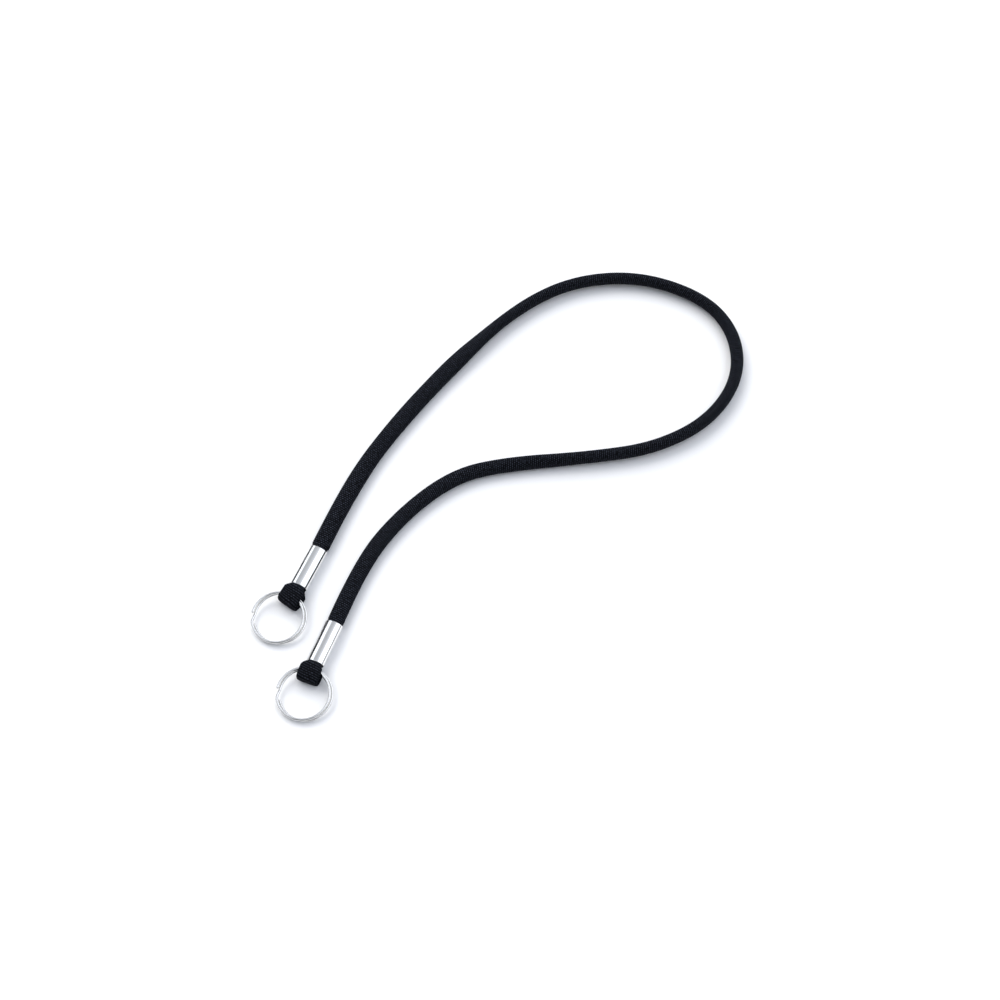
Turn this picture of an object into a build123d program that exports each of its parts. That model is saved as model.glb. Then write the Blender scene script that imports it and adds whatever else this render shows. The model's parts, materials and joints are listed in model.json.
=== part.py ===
from build123d import *
from math import asin, atan2, cos, degrees, pi, radians, sin, tan
import os

# Eyeglass retainer strap: a soft knitted tube that goes round the neck. Each end is folded round a
# split ring and held by an oval crimp ferrule. Everything lies on the plane z = 0, in millimetres.
# Origin: middle of the two end fittings, on that plane. +X right, +Y towards the neck loop, +Z up.

# The knitted tube
strap_diameter = 6.4       # a plain round tube for an oval one 7.8 by 5.4, much the same in area

# The ferrule, an oval sleeve with a lengthwise butt seam underneath
ferrule_length = 20.0
ferrule_width = 8.2
ferrule_height = 6.4
ferrule_wall = 0.5
ferrule_edge_radius = 0.2
seam_gap = 0.3
seam_depth = 2.0           # of the cut that opens the seam, more than the wall
layer_clearance = 0.03     # round the two layers of strap in the ferrule, and between them

# The end loop, a band of pressed strap folded round the ring
band_thickness = 1.4
band_width = 9.4
band_neck_width = 7.6      # where it comes out of the ferrule
band_neck_height = 4.8
loop_rise = 0.8            # the fold stands this much above the ferrule, where the ring lifts it
loop_gap = 0.8             # from the ferrule's mouth to the loop's own body
shoulder_end = 1.5         # from here out the band has its full height
full_width_from = 3.4      # and from here its full width
eye_start = 1.0            # where the two layers part
eye_full_from = 1.6        # from here out they are as far apart as they get
fold_radius = 2.6          # the round of the fold, seen from its side
eye_radius = 1.2           # and inside it
fold_corner_radius = 1.8

# The split ring, two turns of round wire with a short crossover
ring_outer_diameter = 25.0
wire_diameter = 1.2
turn_pitch = 1.22
crossover_angle = 24.0     # degrees of the ring where the wire climbs from one turn to the next
turn_offset = 1.0          # how far the two turns are out of line with each other
ring_near_height = 4.2     # the fold holds that side of the ring this high

# The flexing line of each end loop, near the top of the ferrule's mouth
flex_inset = 0.6
flex_drop = 0.2            # below the top of the ferrule

# Where the strap's middle line goes between the two ferrules: corners of straight runs
strap_route = [
    (8.0, 39.5), (22.1, 71.1), (40.8, 104.1), (70.5, 141.4), (98.3, 168.8), (124.8, 183.8),
    (157.3, 186.2), (187.5, 172.9), (200.0, 152.1), (199.6, 127.6), (184.3, 104.9), (159.2, 91.2),
    (131.6, 86.4), (87.6, 82.0), (66.3, 75.1), (44.0, 56.4), (27.7, 30.9), (16.5, 3.3),
]

# Each end: the side of the wearer's head, the route point at its ferrule and the next one in, the
# loop from the ferrule's mouth to the outside of its fold and how far it is swung to one side, how
# far the ring's middle is from the mouth, how far the ring has swung round in its loop and where on
# it the crossover lies. The angles are in degrees from the ferrule's own direction.
ends = [
    ("left", strap_route[0], strap_route[1], 10.2, -5.0, 16.6, -4.0, -62.0),
    ("right", strap_route[-1], strap_route[-2], 9.5, 3.0, 14.4, 6.0, -74.0),
]

# Worked out from the sizes above
middle_height = ferrule_height / 2
ring_radius = (ring_outer_diameter - wire_diameter) / 2 - turn_offset / 2
turns_height = turn_pitch + wire_diameter
ring_tilt = asin((ring_near_height - turns_height / 2) / (2 * ring_radius))
ring_middle_height = (ring_near_height + turns_height / 2) / 2


def run_turns(points):
    """The shorter run beside each corner of the route, and the turn there in degrees."""
    corners = []
    for before, corner, after in zip(points, points[1:], points[2:]):
        run_in = Vector(*corner) - Vector(*before)
        run_out = Vector(*after) - Vector(*corner)
        corners.append((min(run_in.length, run_out.length), run_in.get_angle(run_out)))
    return corners


def neck_strap():
    """The free stretch of the strap: straight runs joined by the largest arcs that fit."""
    corners = run_turns(strap_route)
    radii = [0.45 * run / tan(radians(turn) / 2) for run, turn in corners]
    print("turns, degrees:", [round(turn, 1) for run, turn in corners])
    print("arc radii, mm:", [round(radius, 1) for radius in radii])
    points = [(x, y, middle_height) for x, y in strap_route]
    path = FilletPolyline(*points, radius=radii)
    section = Plane(origin=path @ 0, z_dir=path % 0) * Circle(strap_diameter / 2)
    tube = sweep(section, path=path)
    expected = pi * (strap_diameter / 2) ** 2 * path.length
    print(f"strap: {path.length:.1f} mm long, {tube.volume:.0f} mm3, section x length {expected:.0f}")
    return tube


def oval(width, height):
    """An upright oval section across the ferrule's axis."""
    return Plane.YZ * Ellipse(width / 2, height / 2)


def ferrule():
    """The sleeve, from -length to 0 along +X, its mouth for the end loop at 0."""
    back = Pos(-ferrule_length, 0, 0)
    outside = back * extrude(oval(ferrule_width, ferrule_height), ferrule_length)
    outside = fillet(outside.edges(), ferrule_edge_radius)
    bore_width = ferrule_width - 2 * ferrule_wall
    bore_height = ferrule_height - 2 * ferrule_wall
    bore = back * extrude(oval(bore_width, bore_height), ferrule_length)
    seam = Pos(-ferrule_length / 2, 0, -ferrule_height / 2) * Box(ferrule_length, seam_gap, seam_depth)
    return outside - bore - seam


def crimped_end():
    """The two layers of strap pressed together in the ferrule: standing part above, tail below."""
    layer_width = ferrule_width - 2 * ferrule_wall - 2 * layer_clearance
    layers_height = ferrule_height - 2 * ferrule_wall - 2 * layer_clearance
    filling = Pos(-ferrule_length, 0, 0) * extrude(oval(layer_width, layers_height), ferrule_length)
    half = Box(ferrule_length, ferrule_width, ferrule_height)
    lift = (ferrule_height + layer_clearance) / 2
    upper = filling & Pos(-ferrule_length / 2, 0, lift) * half
    lower = filling & Pos(-ferrule_length / 2, 0, -lift) * half
    return Compound(children=[upper, lower])


def side_outline(corners, end, high, low, radius):
    """An outline seen from the loop's side: these inner corners, then a rounded fold at its end."""
    outline = make_face(Polyline(*corners, (end, low), (end, high), corners[0]))
    fold_corners = outline.vertices().sort_by(Axis.X)[-2:]
    return Plane.XZ * fillet(fold_corners, radius)


def end_loop(length):
    """The folded band that holds the ring, from its neck at the ferrule to its fold."""
    high = ferrule_height / 2 + loop_rise
    low = -ferrule_height / 2
    neck_high = band_neck_height / 2
    body = [(shoulder_end, high), (loop_gap, neck_high), (loop_gap, -neck_high), (shoulder_end, low)]
    solid = extrude(side_outline(body, length, high, low, fold_radius), band_width / 2, both=True)
    eye_high = high - band_thickness
    eye_low = low + band_thickness
    eye = [(eye_full_from, eye_high), (eye_start, 0), (eye_full_from, eye_low)]
    space = side_outline(eye, length - band_thickness, eye_high, eye_low, eye_radius)
    solid -= extrude(space, band_width / 2, both=True)
    neck = band_neck_width / 2
    side = band_width / 2
    plan = make_face(Polyline(
        (loop_gap, -neck), (full_width_from, -side), (length, -side), (length, side),
        (full_width_from, side), (loop_gap, neck), (loop_gap, -neck)))
    far_corners = plan.vertices().sort_by(Axis.X)[-2:]
    plan = fillet(far_corners, fold_corner_radius)
    return solid & Pos(0, 0, low) * extrude(plan, high - low)


def wire_turn(height, offset, first_angle, last_angle):
    """One turn of the ring's wire, part of a torus, and its two end points."""
    section = Plane.XZ * Pos(ring_radius, 0) * Circle(wire_diameter / 2)
    turn = revolve(section, Axis.Z, last_angle - first_angle)
    place = Pos(offset, 0, height)
    tips = [place * Pos(ring_radius * cos(radians(angle)), ring_radius * sin(radians(angle)), 0)
            for angle in (first_angle, last_angle)]
    return place * Rot(0, 0, first_angle) * turn, [tip.position for tip in tips]


def split_ring():
    """Two turns of wire about +Z, with the crossover at +X."""
    half = crossover_angle / 2
    low, low_tips = wire_turn(-turn_pitch / 2, -turn_offset / 2, half, 360 - half)
    high, high_tips = wire_turn(turn_pitch / 2, turn_offset / 2, half, 360 - half)
    climb = high_tips[0] - low_tips[1]
    crossing = Plane(origin=low_tips[1], z_dir=climb) * Cylinder(
        wire_diameter / 2, climb.length, align=(Align.CENTER, Align.CENTER, Align.MIN))
    ball = Sphere(wire_diameter / 2)
    joints = [Pos(*low_tips[1]) * ball, Pos(*high_tips[0]) * ball]
    return low + crossing + joints[0] + joints[1] + high


def fitting_places():
    """For each end: its name and the placements of its ferrule's mouth, its loop and its ring.

    The ring's near edge hangs in the loop and its far edge lies on the plane.
    """
    places = []
    for side, (x, y), (next_x, next_y), length, loop_swing, ring_distance, ring_swing, crossover in ends:
        heading = degrees(atan2(y - next_y, x - next_x))
        mouth = Pos(x, y, middle_height) * Rot(0, 0, heading) * Pos(ferrule_length, 0, 0)
        loop = mouth * Rot(0, 0, loop_swing)
        ring = mouth * Rot(0, 0, ring_swing) * Pos(ring_distance, 0, ring_middle_height - middle_height)
        ring = ring * Rot(0, degrees(ring_tilt), 0) * Rot(0, 0, crossover)
        places.append((side, length, mouth, loop, ring))
    return places


def build_nodes():
    nodes = {"neck_strap": neck_strap()}
    for side, length, mouth, loop, ring in fitting_places():
        nodes[f"{side}_ferrule"] = mouth * ferrule()
        nodes[f"{side}_crimped_end"] = mouth * crimped_end()
        nodes[f"{side}_end_loop"] = loop * end_loop(length)
        nodes[f"{side}_split_ring"] = ring * split_ring()
        flex_line = mouth * Pos(flex_inset, 0, ferrule_height / 2 - flex_drop)
        across = Vector(0, -1, 0).rotate(Axis.Z, mouth.orientation.Z)
        spin_axis = Plane(ring).z_dir
        print(side, "flex line through", flex_line.position, "along", across)
        print(side, "ring middle", ring.position, "axis", spin_axis)
    return nodes


os.makedirs("parts", exist_ok=True)
node_solids = build_nodes()
for name, solid in node_solids.items():
    solid.label = name
    export_step(solid, f"parts/{name}.step")
fittings = Compound(children=[solid for name, solid in node_solids.items() if name != "neck_strap"])
print("box of the end fittings:", fittings.bounding_box())
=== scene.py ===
# %% [markdown]
# # An eyeglass retainer strap
#
# A soft knitted strap goes round the neck. At each end it is folded round a split ring, and an oval
# metal ferrule is crimped over the fold's two legs. The lesson makes the strap, the two end loops,
# the layers pressed inside the ferrules, the ferrules and the rings, and then their finishes.
#
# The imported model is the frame: it says where each part is and how it moves. Nothing here moves it.

# %% Load the frame
import json
import math

import bmesh
import bpy
from mathutils import Matrix, Vector


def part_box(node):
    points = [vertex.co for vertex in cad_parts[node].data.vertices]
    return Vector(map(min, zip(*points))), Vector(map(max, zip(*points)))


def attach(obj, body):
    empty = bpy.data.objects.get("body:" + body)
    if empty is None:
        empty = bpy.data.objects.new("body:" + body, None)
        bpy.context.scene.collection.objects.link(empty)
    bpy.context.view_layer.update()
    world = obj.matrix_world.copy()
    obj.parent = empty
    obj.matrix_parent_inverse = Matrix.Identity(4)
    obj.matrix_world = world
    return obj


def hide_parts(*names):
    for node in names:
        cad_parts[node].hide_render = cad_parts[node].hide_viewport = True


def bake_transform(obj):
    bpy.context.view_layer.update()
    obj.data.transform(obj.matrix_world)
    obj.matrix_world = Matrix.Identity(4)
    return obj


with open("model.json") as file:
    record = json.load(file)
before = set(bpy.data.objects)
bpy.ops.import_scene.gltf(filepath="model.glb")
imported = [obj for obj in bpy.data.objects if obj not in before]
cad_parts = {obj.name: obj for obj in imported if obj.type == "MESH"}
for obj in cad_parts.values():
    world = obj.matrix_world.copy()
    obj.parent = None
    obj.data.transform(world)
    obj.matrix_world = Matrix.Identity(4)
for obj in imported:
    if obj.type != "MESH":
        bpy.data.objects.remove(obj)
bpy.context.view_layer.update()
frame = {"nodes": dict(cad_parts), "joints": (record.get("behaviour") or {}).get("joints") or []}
joints = {joint["name"]: joint for joint in frame["joints"]}
print("frame:", len(frame["nodes"]), "nodes,", len(joints), "joints")

# %% [markdown]
# ## The sizes
#
# A maker of such straps would write these on one card: the tube as it is knitted, the sleeve that
# the ferrule is pressed from, the wire of the ring. Everything below is worked out from them, so a
# wider strap or a thicker ring is one number away.

# %% Sizes in metres
MM = 0.001

strap_half_thickness = 2.7 * MM    # and 5.4 mm thick
rib_pitch = 0.95 * MM              # from one cross rib to the next
rib_depth = 0.09 * MM
rib_starts = 3                     # the ribs climb like a three-start thread

ferrule_low, ferrule_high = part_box("left_ferrule")
ferrule_height = ferrule_high.z - ferrule_low.z
middle_height = ferrule_height / 2
ferrule_length = 20.0 * MM
ferrule_half_width = 4.25 * MM
ferrule_half_height = ferrule_height / 2
ferrule_wall = 0.5 * MM
seam_half_gap = 0.15 * MM

loop_rise = 0.8 * MM               # the fold stands this much above the ferrule
band_half_width = 5.0 * MM
band_half_thickness = 0.7 * MM

wire_radius = 0.6 * MM
ring_radius = 11.4 * MM
turn_pitch = 1.22 * MM
turn_offset = 1.0 * MM
crossover_angle = math.radians(24)
flex_inset = 0.6 * MM              # from the ferrule's mouth to the loop's flexing line

# %% [markdown]
# ## Where the two ends are
#
# Each end has two joints: the loop flexes at the ferrule's mouth, and the ring turns in the loop.
# The joints give the place and direction of everything at that end, so the pieces are built in the
# ferrule's own directions: `out` from the mouth towards the ring, `across` to its left, `up`.
# Crimping is hand work, so one ferrule is rolled a little on its axis, both sit a hair to one side,
# and the loops swing a few degrees off straight.


# %% Read the ends from the joints
class Fitting:
    """One end of the strap: where its ferrule's mouth and its ring are, and their directions."""

    def __init__(self, side, loop_length, loop_swing, ferrule_roll, ferrule_shift, ring_crossover):
        flex = joints[side + "_loop_flex"]
        spin = joints[side + "_ring_spin"]
        self.side = side
        self.up = Vector((0, 0, 1))
        self.across = -Vector(flex["axis"])
        self.out = self.across.cross(self.up)
        self.mouth = Vector(flex["pos_m"]) - self.out * flex_inset
        self.mouth.z = middle_height
        self.strap_mouth = self.mouth - self.out * ferrule_length
        self.ring_middle = Vector(spin["pos_m"])
        self.ring_axis = Vector(spin["axis"]).normalized()
        reach = self.ring_middle - self.mouth
        self.ring_bearing = math.atan2(reach.dot(self.across), reach.dot(self.out))
        self.ring_crossover = ring_crossover
        self.loop_length = loop_length
        self.loop_swing = loop_swing
        self.ferrule_roll = ferrule_roll
        self.ferrule_shift = ferrule_shift

    def place(self, along, sideways, height):
        """A point given in the ferrule's own directions, in the frame."""
        return self.mouth + self.out * along + self.across * sideways + self.up * height


left = Fitting("left", loop_length=10.2 * MM, loop_swing=math.radians(-13), ferrule_roll=0.0,
               ferrule_shift=-0.15 * MM, ring_crossover=math.radians(-62))
right = Fitting("right", loop_length=9.5 * MM, loop_swing=math.radians(1),
                ferrule_roll=math.radians(9), ferrule_shift=-0.12 * MM,
                ring_crossover=math.radians(-74))
for end in (left, right):
    print(end.side, "mouth", end.mouth, "ring turned by", math.degrees(end.ring_bearing))

# %% [markdown]
# ## The camera
#
# The strap is seen from above and in front, 62 degrees over the table, with a long lens so that the
# far bend and the near rings keep almost the same scale. A camera looks along its own -Z, so it is
# turned with a track quaternion from the direction that it looks in.

# %% Camera
view_elevation = math.radians(62)
view_distance = 0.8166
lens_length = 64.8                 # in mm, on Blender's 36 mm wide film
look_at = Vector((0.0886, 0.0663, 0.0))
towards = Vector((0, math.cos(view_elevation), -math.sin(view_elevation)))

camera_data = bpy.data.cameras.new("camera")
camera_data.lens = lens_length
camera_data.clip_start = 0.05
camera = bpy.data.objects.new("camera", camera_data)
camera.location = look_at - towards * view_distance
camera.rotation_mode = "QUATERNION"
camera.rotation_quaternion = towards.to_track_quat("-Z", "Y")
bpy.context.scene.collection.objects.link(camera)
bpy.context.scene.camera = camera
print("camera at", camera.location)

# %% [markdown]
# ## The strap's route
#
# The strap lies loose on the table in one open loop. Its line is a NURBS curve pulled by a few
# control points, which bends the way soft cord does, with no straight runs and no corners. Order 3
# keeps it close to the points. The order is set after the points are there, or it stays at 2.
# The line stands a little higher round the bend, because the flat strap turns on its edge there.

# %% Route points, in metres
strap_route = [
    (0.0080, 0.0395, 0.0032), (0.0207, 0.0719, 0.0028), (0.0406, 0.1044, 0.0027),
    (0.0702, 0.1416, 0.0030), (0.0980, 0.1692, 0.0037), (0.1248, 0.1841, 0.0038),
    (0.1573, 0.1865, 0.0038), (0.1878, 0.1732, 0.0038), (0.2006, 0.1522, 0.0038),
    (0.1999, 0.1275, 0.0038), (0.1844, 0.1049, 0.0038), (0.1592, 0.0912, 0.0038),
    (0.1315, 0.0866, 0.0037), (0.0874, 0.0827, 0.0031), (0.0659, 0.0759, 0.0028),
    (0.0437, 0.0565, 0.0027), (0.0266, 0.0317, 0.0028), (0.0165, 0.0033, 0.0032),
]


def spline_points(name, controls, steps):
    """The points of the smooth NURBS line that the control points pull."""
    curve = bpy.data.curves.new(name, "CURVE")
    curve.dimensions = "3D"
    curve.resolution_u = steps
    spline = curve.splines.new("NURBS")
    spline.points.add(len(controls) - 1)
    for point, (x, y, z) in zip(spline.points, controls):
        point.co = (x, y, z, 1)
    spline.order_u = 3
    spline.use_endpoint_u = True
    carrier = bpy.data.objects.new(name, curve)
    mesh = bpy.data.meshes.new_from_object(carrier)
    points = [vertex.co.copy() for vertex in mesh.vertices]
    bpy.data.objects.remove(carrier)
    bpy.data.meshes.remove(mesh)
    bpy.data.curves.remove(curve)
    return points


class Line:
    """A smooth line that can be asked for its point and direction at any length along it."""

    def __init__(self, points):
        self.points = points
        self.runs = [0.0]
        for before, after in zip(points, points[1:]):
            self.runs.append(self.runs[-1] + (after - before).length)
        self.length = self.runs[-1]
        self.at = 0

    def point(self, run):
        """The point at this length; past either end the line goes straight on."""
        while self.at < len(self.runs) - 2 and self.runs[self.at + 1] < run:
            self.at += 1
        while self.at > 0 and self.runs[self.at] > run:
            self.at -= 1
        start, end = self.runs[self.at], self.runs[self.at + 1]
        return self.points[self.at].lerp(self.points[self.at + 1], (run - start) / (end - start))

    def direction(self, run, reach=1.5 * MM):
        return (self.point(run + reach) - self.point(run - reach)).normalized()


route_points = spline_points("strap_route", strap_route, 40)
strap_line = Line(route_points)
print("strap line:", round(strap_line.length, 4), "m,", len(route_points), "points")

# %% [markdown]
# ## Rolling a tube from a flat grid
#
# Strap, fold and ring wire are all tubes that follow a line. A tube could be a curve with a bevel,
# but then its section could neither change along the way nor carry ribs. Here it starts as a flat
# grid, like the cloth before it is sewn: one way along the grid is the run along the line, the other
# is the way round the girth. Each point is then laid on its section, and the two long edges are
# merged into a seam. The grid's UVs come along, so a finish can follow the threads: U is the run in
# millimetres, and V goes once round from 0 to 1.


# %% Tube helper
def smooth_step(value):
    value = min(max(value, 0.0), 1.0)
    return value * value * (3 - 2 * value)


def oval_offset(girth, half_width, half_height, squareness):
    """A point of a rounded section and its outward direction, girth going once round from 0 to 1."""
    angle = 2 * math.pi * girth
    c, s = math.cos(angle), math.sin(angle)
    power = 2 / squareness
    x = math.copysign(abs(c) ** power, c) * half_width
    y = math.copysign(abs(s) ** power, s) * half_height
    outward = Vector((c / half_width, s / half_height))
    return x, y, outward.normalized()


def rib_height(run, girth):
    """The knit's relief: low grooves between round ribs that climb slightly round the tube."""
    phase = run / rib_pitch + rib_starts * girth
    return -rib_depth * abs(math.cos(math.pi * phase)) ** 3


def roll_tube(name, start, end, rings, around, section, relief=None, settle=None):
    """A closed tube. section(run) gives the centre, the two section directions, half sizes, power."""
    bm = bmesh.new()
    uv_layer = bm.loops.layers.uv.new("run")
    bmesh.ops.create_grid(bm, x_segments=rings, y_segments=around, size=0.5, calc_uvs=True)
    sections = {}
    for vertex in bm.verts:
        step = round((vertex.co.x + 0.5) * rings)
        girth = vertex.co.y + 0.5
        run = start + (end - start) * step / rings
        if step not in sections:
            sections[step] = section(run)
        centre, wide, high, half_width, half_height, squareness = sections[step]
        x, y, outward = oval_offset(girth, half_width, half_height, squareness)
        if relief:
            lift = relief(run, girth)
            x += outward.x * lift
            y += outward.y * lift
        place = centre + wide * x + high * y
        vertex.co = settle(place) if settle else place
    for face in bm.faces:
        for loop in face.loops:
            uv = loop[uv_layer].uv
            uv.x = (start + (end - start) * uv.x) / MM
    bmesh.ops.remove_doubles(bm, verts=bm.verts, dist=1e-7)
    open_edges = [edge for edge in bm.edges if edge.is_boundary]
    bmesh.ops.holes_fill(bm, edges=open_edges, sides=0)
    return finish_piece(bm, name)


def finish_piece(bm, name):
    """Turns the finished bmesh into an object at the origin, faces outward, smooth shaded."""
    bmesh.ops.recalc_face_normals(bm, faces=bm.faces)
    for face in bm.faces:
        face.smooth = len(face.verts) == 4
    mesh = bpy.data.meshes.new(name)
    bm.to_mesh(mesh)
    bm.free()
    piece = bpy.data.objects.new(name, mesh)
    bpy.context.scene.collection.objects.link(piece)
    print(name, len(mesh.polygons), "faces")
    return piece


# %% [markdown]
# ## The strap
#
# The tube lies flat where it leaves the ferrules. A flat band can't bend sideways without turning on
# its edge, so it rolls over as the loop begins and rolls back before the other ferrule. On its edge it
# is nearly round, and it swells a little where the bend is tightest. At the ferrules it narrows to the
# crimp. Where the tube would dip under the table it is pressed flat on it. Slow waves in its width and
# roll keep it from looking like an extrusion.

# %% Strap
roll_edge = math.radians(78)
roll_out = (0.106, 0.168)          # lengths between which the strap turns on its edge
roll_back = (0.372, 0.462)         # and between which it lies down again
gather = (0.108, 0.163)            # and between which it grows round
spread = (0.370, 0.490)            # and flat again
roll_waves = ((0.07, 41, 0), (0.05, 97, 1))      # size, pace and start of each wave
width_waves = ((0.012, 63, 0), (0.010, 151, 2))
left_half_width = 4.1 * MM
loop_half_width = 3.05 * MM        # round the loop it stands on its edge and is nearly round
loop_half_thickness = 2.75 * MM
right_half_width = 3.68 * MM       # the right arm lies a little narrower than the left
right_half_thickness = 2.5 * MM
bend_run = 0.283                   # the bend's tightest place, where the tube swells inwards
bend_reach = 0.018
bend_swell = 0.3 * MM
crimp_run = 2.4 * MM               # the tube opens out over this length from a ferrule
crimp_half_width = 3.45 * MM
crimp_half_height = 2.64 * MM
tuck = 1.0 * MM                    # how far the tube reaches into the ferrules
table_skin = 0.02 * MM
strap_squareness = 2.15            # 2 is a true oval, more is fuller at the shoulders
rings_per_rib = 5
strap_around = 24


def passed(run, stretch):
    """How much of a stretch lies behind this length, eased, from 0 to 1."""
    start, end = stretch
    return smooth_step((run - start) / (end - start))


def waves(run, wave_sizes):
    return sum(size * math.sin(run * pace + start) for size, pace, start in wave_sizes)


def strap_roll(run):
    return (roll_edge + waves(run, roll_waves)) * (passed(run, roll_out) - passed(run, roll_back))


def strap_half_sizes(run):
    """Half the width and thickness: wide at the left arm, nearly round in the loop, flat again."""
    into_loop = passed(run, gather)
    from_loop = passed(run, spread)
    half_width = left_half_width + (loop_half_width - left_half_width) * into_loop
    half_width += (right_half_width - loop_half_width) * from_loop
    half_thickness = strap_half_thickness + (loop_half_thickness - strap_half_thickness) * into_loop
    half_thickness += (right_half_thickness - loop_half_thickness) * from_loop
    half_thickness += bend_swell * math.exp(-((run - bend_run) / bend_reach) ** 2)
    return half_width, half_thickness


def strap_section(run):
    centre = strap_line.point(run)
    direction = strap_line.direction(run)
    sideways = Vector((0, 0, 1)).cross(direction).normalized()
    high = direction.cross(sideways)
    turned = Matrix.Rotation(-strap_roll(run), 3, direction)
    from_end = min(run, strap_line.length - run)
    opened = smooth_step(from_end / crimp_run)
    swell = 1 + waves(run, width_waves)
    full_width, full_thickness = strap_half_sizes(run)
    half_width = (crimp_half_width + (full_width - crimp_half_width) * opened) * swell
    half_height = crimp_half_height + (full_thickness - crimp_half_height) * opened
    return centre, turned @ sideways, turned @ high, half_width, half_height, strap_squareness


def on_table(place):
    place.z = max(place.z, table_skin)
    return place


strap_rings = round((strap_line.length + 2 * tuck) / rib_pitch) * rings_per_rib
strap = roll_tube("knitted_strap", -tuck, strap_line.length + tuck, strap_rings, strap_around,
                  strap_section, rib_height, on_table)
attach(strap, "strap")
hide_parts("neck_strap")
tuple(left.strap_mouth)

# %% [markdown]
# ## The end loops
#
# Past the ferrule the strap is pressed flat, wider and thinner than before. It goes out over the
# ring, folds, and comes back under it. The side view of that fold is another short NURBS line, and
# the same tube helper lays the ribbed band along it. From the neck outwards the round tube opens to a
# wide, thin, squarer band, and its corners are drawn in at the fold.

# %% End loops
neck_height = 1.3 * MM             # of each layer's middle in the ferrule, from the ferrule's middle
neck_half_width = 3.1 * MM
neck_half_thickness = 1.2 * MM
fold_droop = 1.2 * MM              # the upper layer comes down by this much towards the fold
upper_height = ferrule_half_height + loop_rise - band_half_thickness
lower_height = -ferrule_half_height + band_half_thickness
fold_tuck = 2.2 * MM               # the fold's line starts this far inside the ferrule
line_left_out = 1.0 * MM           # of that line at each end
open_start = -0.2 * MM             # from here, measured from the mouth, the neck opens
open_run = 3.8 * MM                # to the band's full width over this length
press_run = 2.4 * MM               # and to its thinness over this one
square_run = 3.0 * MM
band_squareness = 2.9
corner_start = 3.2 * MM            # before the end of the loop, where the corners draw in
corner_run = 3.4 * MM
corner_draw = 0.2 * MM
fold_rings_per_rib = 6
loop_around = 28


def fold_controls(length):
    """The fold seen from its side: out above, round the end, and back below."""
    tip = length - band_half_thickness
    return [
        (-fold_tuck, neck_height), (0.0, neck_height), (0.7 * MM, 1.9 * MM), (1.8 * MM, upper_height),
        (4.5 * MM, upper_height - 0.15 * MM), (tip - 2.4 * MM, upper_height - 0.5 * fold_droop),
        (tip - 0.25 * MM, upper_height - fold_droop), (tip, 0.2 * MM),
        (tip - 0.4 * MM, lower_height), (4.5 * MM, lower_height), (2.0 * MM, lower_height),
        (0.7 * MM, -1.6 * MM), (0.0, -neck_height), (-fold_tuck, -neck_height),
    ]


def make_end_loop(end):
    fold = Line(spline_points("fold", [(x, 0, z) for x, z in fold_controls(end.loop_length)], 24))

    def section(run):
        middle = fold.point(run)
        direction = fold.direction(run, 0.3 * MM)
        reach = max(middle.x, 0.0)
        swing = end.loop_swing * reach / end.loop_length
        opened = smooth_step((middle.x - open_start) / open_run)
        half_width = neck_half_width + (band_half_width - neck_half_width) * opened
        half_width -= corner_draw * smooth_step((middle.x - end.loop_length + corner_start) / corner_run)
        pressed = smooth_step((middle.x - open_start) / press_run)
        half_thickness = neck_half_thickness + (band_half_thickness - neck_half_thickness) * pressed
        centre = end.place(middle.x, swing * reach / 2, middle.z)
        wide = end.across * math.cos(swing) - end.out * math.sin(swing)
        heading = end.out * direction.x + end.up * direction.z
        squareness = 2.0 + (band_squareness - 2.0) * smooth_step(middle.x / square_run)
        return centre, wide, heading.cross(wide).normalized(), half_width, half_thickness, squareness

    first, last = line_left_out, fold.length - line_left_out
    rings = round((last - first) / rib_pitch) * fold_rings_per_rib
    loop = roll_tube(end.side + "_fold", first, last, rings, loop_around, section, rib_height, on_table)
    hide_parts(end.side + "_end_loop")
    end.place(0, 0, 0)
    end.place(2.2 * MM, 0, 0)
    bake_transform(loop)
    return loop


end_loops = [make_end_loop(end) for end in (left, right)]

# %% [markdown]
# ## The layers in the ferrules
#
# Inside each ferrule the strap lies doubled: the standing layer above, its tucked-back tail below,
# both pressed to half the bore. They show only as a dark filling at the mouths, but a sleeve with
# nothing in it would not hold, so they are made too, as two short ribbed tubes in one piece.

# %% Pressed layers
layer_gap = 1.3 * MM               # the layers stop short of the mouths, where the strap comes in
layer_rings_per_rib = 3
layer_around = 20


def make_pressed_layers(end):
    def layer(height, name):
        def section(run):
            centre = end.place(run, 0, height)
            return centre, end.across, -end.up, neck_half_width, neck_half_thickness, 2.0

        rings = round((ferrule_length - 2 * layer_gap) / rib_pitch) * layer_rings_per_rib
        return roll_tube(name, -ferrule_length + layer_gap, -layer_gap, rings, layer_around, section,
                         rib_height)

    upper = layer(neck_height, end.side + "_pressed_layers")
    lower = layer(-neck_height, end.side + "_tail")
    joined = bmesh.new()
    joined.from_mesh(upper.data)
    joined.from_mesh(lower.data)
    joined.to_mesh(upper.data)
    joined.free()
    bpy.data.objects.remove(lower)
    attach(upper, "strap")
    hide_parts(end.side + "_crimped_end")
    return upper


pressed_layers = [make_pressed_layers(end) for end in (left, right)]

# %% [markdown]
# ## The ferrules
#
# A ferrule is cut from thin plated sheet, rolled to an oval and squeezed shut, so it has a butt seam
# along its underside. It starts as a circle of points with the lowest one taken out, which opens
# the seam; the open line is drawn out to a sleeve, and the wall gets its thickness and rounded rims
# from two modifiers. Slow dents from the crimping tool give its reflections their slight waver.

# %% Ferrules
ferrule_around = 96
ferrule_steps = 60
ferrule_squareness = 2.15          # a little fuller at its shoulders than a true oval
dent_depth = 0.06 * MM
dent_sideways = 0.5                # how much of a dent narrows the sleeve
dent_down = 0.35                   # and how much flattens it
rim_radius = 0.16 * MM
rim_segments = 4


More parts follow.
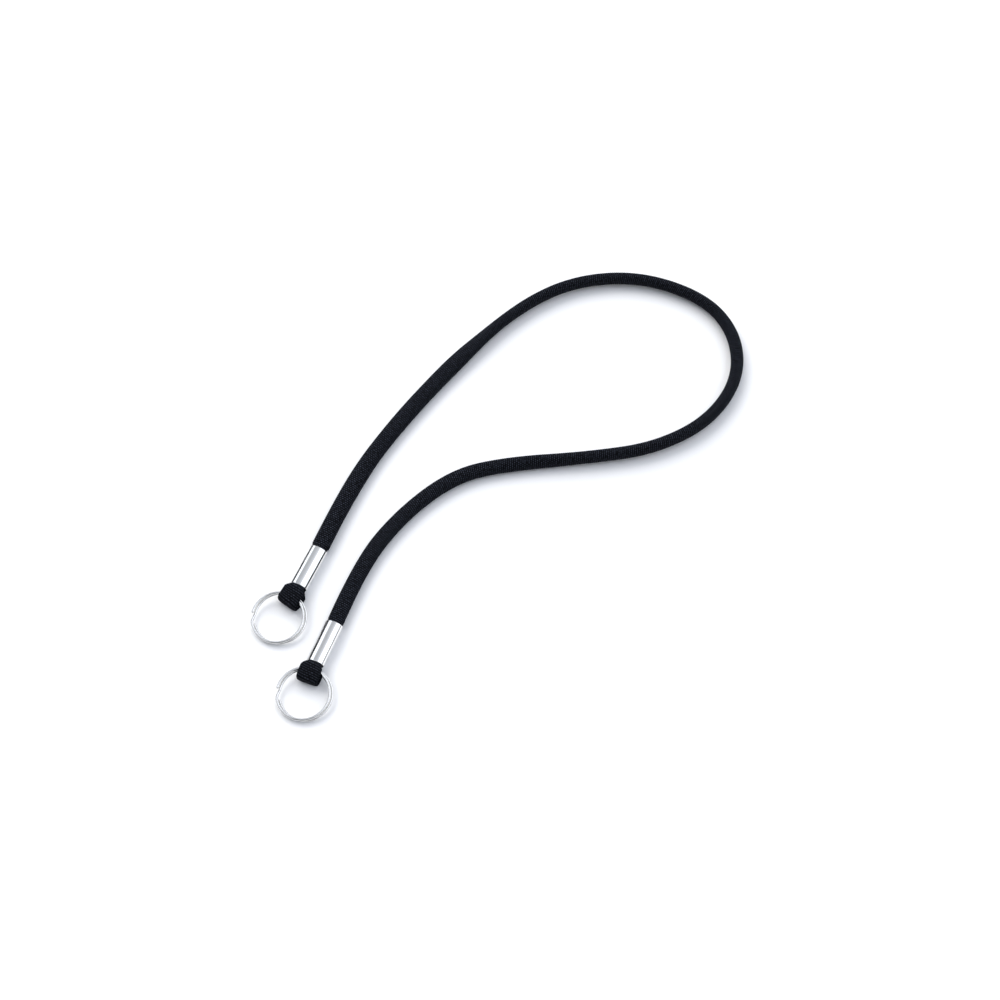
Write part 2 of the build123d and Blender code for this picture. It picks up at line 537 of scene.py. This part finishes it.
def make_ferrule(end):
    bm = bmesh.new()
    bmesh.ops.create_circle(bm, segments=ferrule_around, radius=1.0)
    lowest = min(bm.verts, key=lambda vertex: vertex.co.y)
    bmesh.ops.delete(bm, geom=[lowest], context="VERTS")
    profile = list(bm.edges)
    drawn = bmesh.ops.extrude_edge_only(bm, edges=profile)
    for item in drawn["geom"]:
        if isinstance(item, bmesh.types.BMVert):
            item.co.z += 1.0
    lengthways = [edge for edge in bm.edges if abs(edge.verts[0].co.z - edge.verts[1].co.z) > 0.5]
    bmesh.ops.subdivide_edges(bm, edges=lengthways, cuts=ferrule_steps - 1, use_grid_fill=True)
    for vertex in bm.verts:
        along = -ferrule_length * vertex.co.z
        angle = math.atan2(vertex.co.y, vertex.co.x)
        middle = math.sin(math.pi * vertex.co.z)
        dent = dent_depth * middle * (0.6 + 0.4 * math.sin(2 * angle + 9 * vertex.co.z))
        half_width = ferrule_half_width - ferrule_wall / 2
        half_height = ferrule_half_height - ferrule_wall / 2
        x, z, outward = oval_offset(angle / (2 * math.pi), half_width - dent * dent_sideways,
                                    half_height - dent * dent_down, ferrule_squareness)
        if vertex.co.y < -0.99:    # the points beside the seam
            x = math.copysign(max(abs(x), seam_half_gap), x)
        rolled = Matrix.Rotation(end.ferrule_roll, 2) @ Vector((x, z))
        vertex.co = end.place(along, rolled.x + end.ferrule_shift, rolled.y)
    sleeve = finish_piece(bm, end.side + "_sleeve")
    wall = sleeve.modifiers.new("wall", "SOLIDIFY")
    wall.thickness = ferrule_wall
    wall.offset = 0
    rim = sleeve.modifiers.new("rim", "BEVEL")
    rim.width = rim_radius
    rim.segments = rim_segments
    rim.limit_method = "ANGLE"
    rim.angle_limit = math.radians(50)
    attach(sleeve, "strap")
    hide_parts(end.side + "_ferrule")
    return sleeve


ferrules = [make_ferrule(end) for end in (left, right)]

# %% [markdown]
# ## The split rings
#
# A split ring is one length of spring wire wound twice round. It lies in one plane for a full turn,
# climbs over its own start and lies in the next plane for a second turn. The wire's line is worked
# out with a formula, because it is a circle with one short climb, and the tube helper rolls the wire
# along it. The two turns are a hair out of line, which is what shows the ring to be double.

# %% Split rings
wire_around = 20
wire_rings = 400
tip_run = 0.25 * MM                # the wire's cut ends are rounded over this length
tip_share = 0.8                    # and start at this share of its width
turn_step = 0.005                  # in radians, for the wire's direction


def make_ring(end):
    turned = Matrix.Rotation(end.ring_bearing, 3, end.up)
    ahead = turned @ end.out
    beside = end.ring_axis.cross(ahead).normalized()
    ahead = beside.cross(end.ring_axis)
    ahead, beside = (
        ahead * math.cos(end.ring_crossover) + beside * math.sin(end.ring_crossover),
        beside * math.cos(end.ring_crossover) - ahead * math.sin(end.ring_crossover),
    )
    half = crossover_angle / 2
    total = 4 * math.pi - crossover_angle

    def wire_point(run):
        angle = half + run
        past_first_turn = smooth_step((run - (2 * math.pi - crossover_angle)) / crossover_angle)
        height = turn_pitch * (past_first_turn - 0.5)
        shift = turn_offset * (past_first_turn - 0.5)
        around = ahead * math.cos(angle) + beside * math.sin(angle)
        return end.ring_middle + around * ring_radius + ahead * shift + end.ring_axis * height

    def section(run):
        centre = wire_point(run)
        direction = (wire_point(run + turn_step) - wire_point(run - turn_step)).normalized()
        outward = direction.cross(end.ring_axis).normalized()
        tip = max(min(run, total - run), 0.0) * ring_radius
        rounded = wire_radius * (tip_share + (1 - tip_share) * min(tip / tip_run, 1.0) ** 0.5)
        return centre, outward, outward.cross(direction), rounded, rounded, 2.0

    ring = roll_tube(end.side + "_ring_wire", 0, total, wire_rings, wire_around, section)
    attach(ring, end.side + "_ring")
    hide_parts(end.side + "_split_ring")
    return ring


split_rings = [make_ring(end) for end in (left, right)]

# %% [markdown]
# ## Shader maths as Python
#
# A finish is a net of nodes, and most of them only add and multiply. `Signal` wraps one socket and
# turns Python's own operators into Math nodes, so a formula reads as a formula. Every other node
# comes from `Finish.node`, which takes the node's type, its settings and what feeds its inputs.


# %% Signals and finishes
class Signal:
    """One output of a node, with arithmetic."""

    def __init__(self, finish, node, output):
        self.finish = finish
        self.owner = node
        self.socket = output

    def __getitem__(self, name):
        return Signal(self.finish, self.owner, self.owner.outputs[name])

    def calculate(self, operation, *values):
        return self.finish.node("ShaderNodeMath", {"operation": operation}, dict(enumerate(values)))

    def __add__(self, other):
        return self.calculate("ADD", self, other)

    __radd__ = __add__

    def __mul__(self, other):
        return self.calculate("MULTIPLY", self, other)

    __rmul__ = __mul__

    def __sub__(self, other):
        return self.calculate("SUBTRACT", self, other)

    def __rsub__(self, other):
        return self.calculate("SUBTRACT", other, self)

    def __truediv__(self, other):
        return self.calculate("DIVIDE", self, other)

    def __pow__(self, other):
        return self.calculate("POWER", self, other)


class Finish:
    """The nodes of a material, or of the tent round it all, with one method that adds a node."""

    def __init__(self, owner, shader="Principled BSDF"):
        owner.use_nodes = True
        self.owner = owner
        self.tree = owner.node_tree
        self.shader = self.tree.nodes[shader]

    def node(self, kind, settings=None, inputs=None):
        made = self.tree.nodes.new(kind)
        for name, value in (settings or {}).items():
            if name == "stops":
                ramp = made.color_ramp.elements
                while len(ramp) < len(value):
                    ramp.new(0.5)
                for element, (position, shade) in zip(ramp, value):
                    element.position = position
                    element.color = (shade, shade, shade, 1)
            else:
                setattr(made, name, value)
        for name, value in (inputs or {}).items():
            self.feed(made.inputs[name], value)
        return Signal(self, made, made.outputs[0])

    def feed(self, socket, value):
        if isinstance(value, Signal):
            self.tree.links.new(value.socket, socket)
        else:
            socket.default_value = value

    def shade(self, **inputs):
        for name, value in inputs.items():
            self.feed(self.shader.inputs[name.replace("_", " ")], value)

    def blend_colour(self, share, first, second):
        mixed = self.node("ShaderNodeMix", {"data_type": "RGBA"}, {0: share, 6: first, 7: second})
        return Signal(self, mixed.owner, mixed.owner.outputs[2])


# %% [markdown]
# ## The knit
#
# The strap is a near-black navy polyester knit. Its ribs are real relief on the strap and the folds,
# and this finish follows them: U and V come from the grid that the tube was rolled from, so the same
# formula gives the crest of each rib. The colour is painted lighter on the crests, a painted highlight
# over the yarn's own navy, and between the ribs it falls almost to black, which is painted shade.
# Stitches run along each rib, staggered from one rib to the next like bricks, and each stitch's crest
# carries the painted highlight too. Fine fuzz and slow patches of thicker yarn break up the painted
# highlights. A little sheen gives the pale rim that yarn has at a low angle.

# %% Knit finish
strap_girth = 21 * MM
fold_girth = 34 * MM               # the fold's broad faces are stretched, so it takes more stitches
stitch_length = 1.0 * MM
# Painted shade: the near-black colour between the ribs. The two thread colours below are the yarn's navy
# with a painted highlight for the rib crests.
groove_painted_shade = (0.0004, 0.0005, 0.0008, 1)
strap_yarn_and_highlight = (0.042, 0.047, 0.064, 1)
fold_yarn_and_highlight = (0.035, 0.039, 0.053, 1)
fuzz_scale = 2.6                   # in patches per millimetre
yarn_scale = 0.85
relief_depth = 0.09 * MM


def knit_finish(name, girth, yarn_and_highlight):
    knit = Finish(bpy.data.materials.new(name))
    uv = knit.node("ShaderNodeTexCoord")["UV"]
    place = knit.node("ShaderNodeSeparateXYZ", {}, {0: uv})
    run, around = place["X"], place["Y"]
    phase = run / (rib_pitch / MM) + around * rib_starts
    rib_phase = phase * (2 * math.pi)
    crest = 0.5 - rib_phase.calculate("COSINE", rib_phase) * 0.5
    row = phase.calculate("FLOOR", phase)
    stitches = round(girth / stitch_length)
    stitch_phase = (around * stitches + row * 0.5) * (2 * math.pi)
    stitch = stitch_phase.calculate("COSINE", stitch_phase) * 0.5 + 0.5
    threads = knit.node("ShaderNodeCombineXYZ", {}, {0: run, 1: around * (girth / MM), 2: 0.0})
    fuzz = knit.node("ShaderNodeTexNoise", {}, {"Vector": threads, "Scale": fuzz_scale, "Detail": 3.0,
                                                "Roughness": 0.65})
    yarn = knit.node("ShaderNodeTexNoise", {}, {"Vector": threads, "Scale": yarn_scale, "Detail": 2.0})
    uneven = (yarn - 0.5) * 4.6 + 1.0
    uneven = uneven.calculate("MAXIMUM", uneven, 0.15)
    # Crests and stitches get the thread colour, a painted highlight, and the grooves fall to the painted
    # shade colour.
    dots = (crest * (0.4 + stitch * 0.6)) ** 2
    shade = dots * (0.2 + fuzz * 1.6) * uneven
    colour = knit.blend_colour(shade, groove_painted_shade, yarn_and_highlight)
    height = crest * 0.6 + stitch * crest * 0.3 + fuzz * 0.25
    bump = knit.node("ShaderNodeBump", {}, {"Strength": 0.75, "Distance": relief_depth, "Height": height})
    knit.shade(Base_Color=colour, Roughness=0.86 - dots * 0.14, Normal=bump)
    knit.shade(Sheen_Weight=0.02, Sheen_Roughness=0.5, Sheen_Tint=(0.55, 0.62, 0.78, 1))
    knit.shade(Specular_IOR_Level=0.06)
    print(name, stitches, "stitches round")
    return knit.owner


strap.data.materials.append(knit_finish("strap_knit", strap_girth, strap_yarn_and_highlight))
fold_knit = knit_finish("fold_knit", fold_girth, fold_yarn_and_highlight)
for piece in end_loops + pressed_layers:
    piece.data.materials.append(fold_knit)

# %% [markdown]
# ## The nickel
#
# Ferrules and rings are bright nickel plate. A mirror that is perfect everywhere looks drawn, so the
# plate's roughness drifts with handling, hair-fine scratches run along the sleeve and round the
# wire, and thin smudges dull it here and there. Nickel is slightly warm next to chrome. The wire is
# drawn smooth and plated a little darker than the pressed sleeve.


# %% Nickel finish
sleeve_clean = (0.90, 0.895, 0.88, 1)
sleeve_dull = (0.74, 0.73, 0.71, 1)
sleeve_roughness = 0.12
sleeve_stretch = 9.0               # how much longer than wide the sleeve's scratches are
wire_clean = (0.84, 0.835, 0.82, 1)
wire_dull = (0.66, 0.65, 0.63, 1)
wire_roughness = 0.07
wire_stretch = 1.0
handling_scale = 260.0             # in patches per metre
scratch_scale = 700.0


def nickel_finish(name, heading, scratch_stretch, base_roughness, clean, dull):
    nickel = Finish(bpy.data.materials.new(name))
    place = nickel.node("ShaderNodeTexCoord")["Object"]
    lined_up = nickel.node("ShaderNodeMapping", {}, {"Vector": place, "Rotation": (0, 0, -heading),
                                                     "Scale": (1, scratch_stretch, scratch_stretch)})
    handling = nickel.node("ShaderNodeTexNoise", {}, {"Vector": place, "Scale": handling_scale,
                                                    "Detail": 4.0})
    scratches = nickel.node("ShaderNodeTexNoise", {}, {"Vector": lined_up, "Scale": scratch_scale,
                                                       "Detail": 2.0, "Roughness": 0.7})
    smudge = nickel.node("ShaderNodeValToRGB", {"stops": [(0.48, 0.0), (0.72, 1.0)]}, {0: handling})
    lines = nickel.node("ShaderNodeValToRGB", {"stops": [(0.55, 0.0), (0.75, 1.0)]}, {0: scratches})
    colour = nickel.blend_colour(smudge * 0.35, clean, dull)
    roughness = base_roughness + smudge * 0.10 + lines * 0.05
    bump = nickel.node("ShaderNodeBump", {}, {"Strength": 0.12, "Distance": 0.01 * MM,
                                              "Height": scratches + handling * 0.4})
    nickel.shade(Base_Color=colour, Roughness=roughness, Normal=bump, Metallic=1.0)
    print(name, "with", len(nickel.tree.nodes), "nodes")
    return nickel.owner


for end, sleeve, ring in zip((left, right), ferrules, split_rings):
    heading = math.atan2(end.out.y, end.out.x)
    sleeve_nickel = nickel_finish(end.side + "_sleeve_nickel", heading, sleeve_stretch,
                                  sleeve_roughness, sleeve_clean, sleeve_dull)
    wire_nickel = nickel_finish(end.side + "_wire_nickel", heading, wire_stretch,
                                wire_roughness, wire_clean, wire_dull)
    sleeve.data.materials.append(sleeve_nickel)
    ring.data.materials.append(wire_nickel)

# %% [markdown]
# ## Table and light
#
# The strap lies on a plain white table in a white tent. Bright metal shows nothing but its
# surroundings, so the tent matters more than the lamp. Its walls are white, with a dark gap at their
# foot that draws the dark lines down each side of the ferrules. The gap is taller on the left and in
# front. Overhead hang two white sheets with a dim slot between them, which gives the grey streak down
# the middle of each ferrule. One large soft lamp stands behind on the left, outside the tent, so it
# throws shadows to the front and right and the metal shows only the lit wall.

# %% Table
table_half_side = 4.0

table_mesh = bpy.data.meshes.new("table")
bm = bmesh.new()
bmesh.ops.create_grid(bm, x_segments=1, y_segments=1, size=table_half_side)
bm.to_mesh(table_mesh)
bm.free()
table = bpy.data.objects.new("table", table_mesh)
bpy.context.scene.collection.objects.link(table)
table_finish = Finish(bpy.data.materials.new("table_white"))
table_finish.shade(Base_Color=(0.90, 0.90, 0.905, 1), Roughness=0.9, Specular_IOR_Level=0.1)
table_mesh.materials.append(table_finish.owner)

# %% Tent
gap_top = 0.20                     # the dark gap at the foot of the walls, as the sine of its elevation
wall_from = 0.27                   # and where the walls are fully lit
gap_left = 0.36                    # how much taller the gap is on the left
gap_front = 0.45                   # and in front
sheets_from = 0.50                 # the sheets' light begins here, as the sine of its elevation
sheets_full = 0.66
behind_full = 0.0                  # the walls are at their brightest from here back
front_from = -0.50                 # and at their dimmest from here forward
front_light = 0.85
behind_light = 1.1
tent_colour = (0.88, 0.92, 1.0, 1)
tent_light = 1.5

tent = Finish(bpy.data.worlds.new("tent"), "Background")
bpy.context.scene.world = tent.owner
towards_wall = tent.node("ShaderNodeTexCoord")["Generated"]
parts = tent.node("ShaderNodeSeparateXYZ", {}, {0: towards_wall})
on_left = parts["X"].calculate("MINIMUM", parts["X"], 0.0)
in_front = parts["Y"].calculate("MINIMUM", parts["Y"], 0.0)
wall = tent.node("ShaderNodeValToRGB", {"stops": [(0.0, 0.02), (gap_top, 0.035), (wall_from, 1.0)]},
                 {0: parts["Z"] + on_left * gap_left + in_front * gap_front})
between_sheets = tent.node(
    "ShaderNodeValToRGB",
    {"stops": [(0.28, 1.0), (0.33, 0.31), (0.455, 0.37), (0.585, 0.50), (0.655, 1.0)]},
    {0: parts["X"] * 0.5 + 0.5})
overhead = tent.node("ShaderNodeMapRange", {}, {0: parts["Z"], 1: sheets_from, 2: sheets_full,
                                                3: 0.0, 4: 1.0})
from_behind = tent.node("ShaderNodeMapRange", {}, {0: parts["Y"], 1: front_from, 2: behind_full,
                                                   3: front_light, 4: behind_light})
sheets = 1 - overhead * (1 - between_sheets)
tent.shade(Color=tent_colour, Strength=wall * sheets * from_behind * tent_light)
print("tent:", len(tent.tree.nodes), "nodes")

# %% Lamp
lamp_width = 2.4
lamp_height = 1.8
lamp_power = 50
lamp_colour = (1.0, 0.975, 0.93)
lamp_distance = 2.2
lamp_left = 0.45
lamp_elevation = math.radians(41)
lamp_from = Vector((-lamp_left, math.cos(lamp_elevation), math.sin(lamp_elevation))).normalized()

lamp_data = bpy.data.lights.new("soft_lamp", "AREA")
lamp_data.shape = "RECTANGLE"
lamp_data.size = lamp_width
lamp_data.size_y = lamp_height
lamp_data.energy = lamp_power
lamp_data.color = lamp_colour
lamp = bpy.data.objects.new("soft_lamp", lamp_data)
lamp.location = look_at + lamp_from * lamp_distance
lamp.visible_glossy = False        # it is outside the tent, so the metal doesn't show it
lamp.rotation_mode = "QUATERNION"
lamp.rotation_quaternion = (-lamp_from).to_track_quat("-Z", "Y")
bpy.context.scene.collection.objects.link(lamp)
print("lamp at", lamp.location)

bpy.context.scene.view_settings.view_transform = "Standard"
